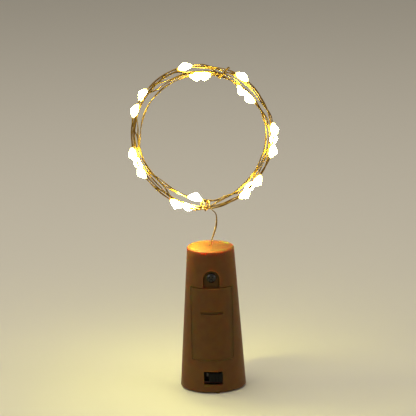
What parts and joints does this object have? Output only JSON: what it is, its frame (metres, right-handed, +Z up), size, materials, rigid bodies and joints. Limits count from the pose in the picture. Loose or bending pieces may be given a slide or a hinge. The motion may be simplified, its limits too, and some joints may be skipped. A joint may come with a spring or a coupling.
{
  "type": "cork bottle light",
  "caption": "Tapered cork-shaped battery plug with a screwed battery door, a slide switch and a thin wire string of small LED drops wound in a standing ring above its narrow end.",
  "frame": {"origin": "on the surface that the feet stand on, under the plug's axis", "axes": "+Z up along the plug's axis towards its narrow end, -Y to the front with the door and the switch"},
  "size_m": [0.0571, 0.0264, 0.1325],
  "materials": {
    "cork_plastic": "fine satin",
    "cradle_plastic": "satin",
    "black_plastic": "satin",
    "screw_steel": "bright",
    "cell_steel": "polished",
    "contact_steel": "plated",
    "contact_brass": "plain",
    "board": "solder mask",
    "black_lead": "satin",
    "red_lead": "satin",
    "string_wire": "enamelled",
    "glue": "hazy",
    "clear_drop": "clear"
  },
  "bodies": {
    "plug": {"cork_shell": "cork_plastic", "base_cap": "cork_plastic", "battery_cradle": "cradle_plastic", "negative_spring": "contact_steel", "negative_plate": "contact_steel", "positive_plate": "contact_steel", "switch_frame": "contact_steel", "switch_base": "black_plastic", "switch_terminals": "contact_brass", "circuit_board": "board", "resistor": "black_plastic", "negative_wire": "black_lead", "positive_wire": "red_lead", "string_tail": "string_wire", "glue_plug": "glue", "string_lead": "string_wire", "lower_wrap": "string_wire", "string_coil": "string_wire", "upper_wrap": "string_wire", "led_bead_01": "clear_drop", "led_bead_02": "clear_drop", "led_bead_03": "clear_drop", "led_bead_04": "clear_drop", "led_bead_05": "clear_drop", "led_bead_06": "clear_drop", "led_bead_07": "clear_drop", "led_bead_08": "clear_drop", "led_bead_09": "clear_drop", "led_bead_10": "clear_drop", "led_bead_11": "clear_drop", "led_bead_12": "clear_drop", "led_bead_13": "clear_drop", "led_bead_14": "clear_drop", "led_bead_15": "clear_drop", "led_bead_16": "clear_drop", "led_bead_17": "clear_drop", "led_bead_18": "clear_drop", "led_bead_19": "clear_drop", "led_bead_20": "clear_drop", "button_cell_1": "cell_steel", "button_cell_2": "cell_steel", "button_cell_3": "cell_steel"},
    "door": {"battery_door": "cork_plastic"},
    "screw": {"door_screw": "screw_steel"},
    "knob": {"switch_knob": "black_plastic", "switch_wiper": "contact_brass"}
  },
  "joints": [
    {"name": "door_swing", "type": "hinge", "parent": "plug", "child": "door", "pos_m": [0, -0.01233, 0.0136], "axis": [1, 0, 0], "range_deg": [0, 60]},
    {"name": "screw_turn", "type": "hinge", "parent": "door", "child": "screw", "pos_m": [0, -0.00824, 0.0468], "axis": [0, -1, 0], "range_deg": [0, 1080]},
    {"name": "switch_slide", "type": "slide", "parent": "plug", "child": "knob", "axis": [1, 0, 0], "range_m": [-0.002, 0]}
  ]
}
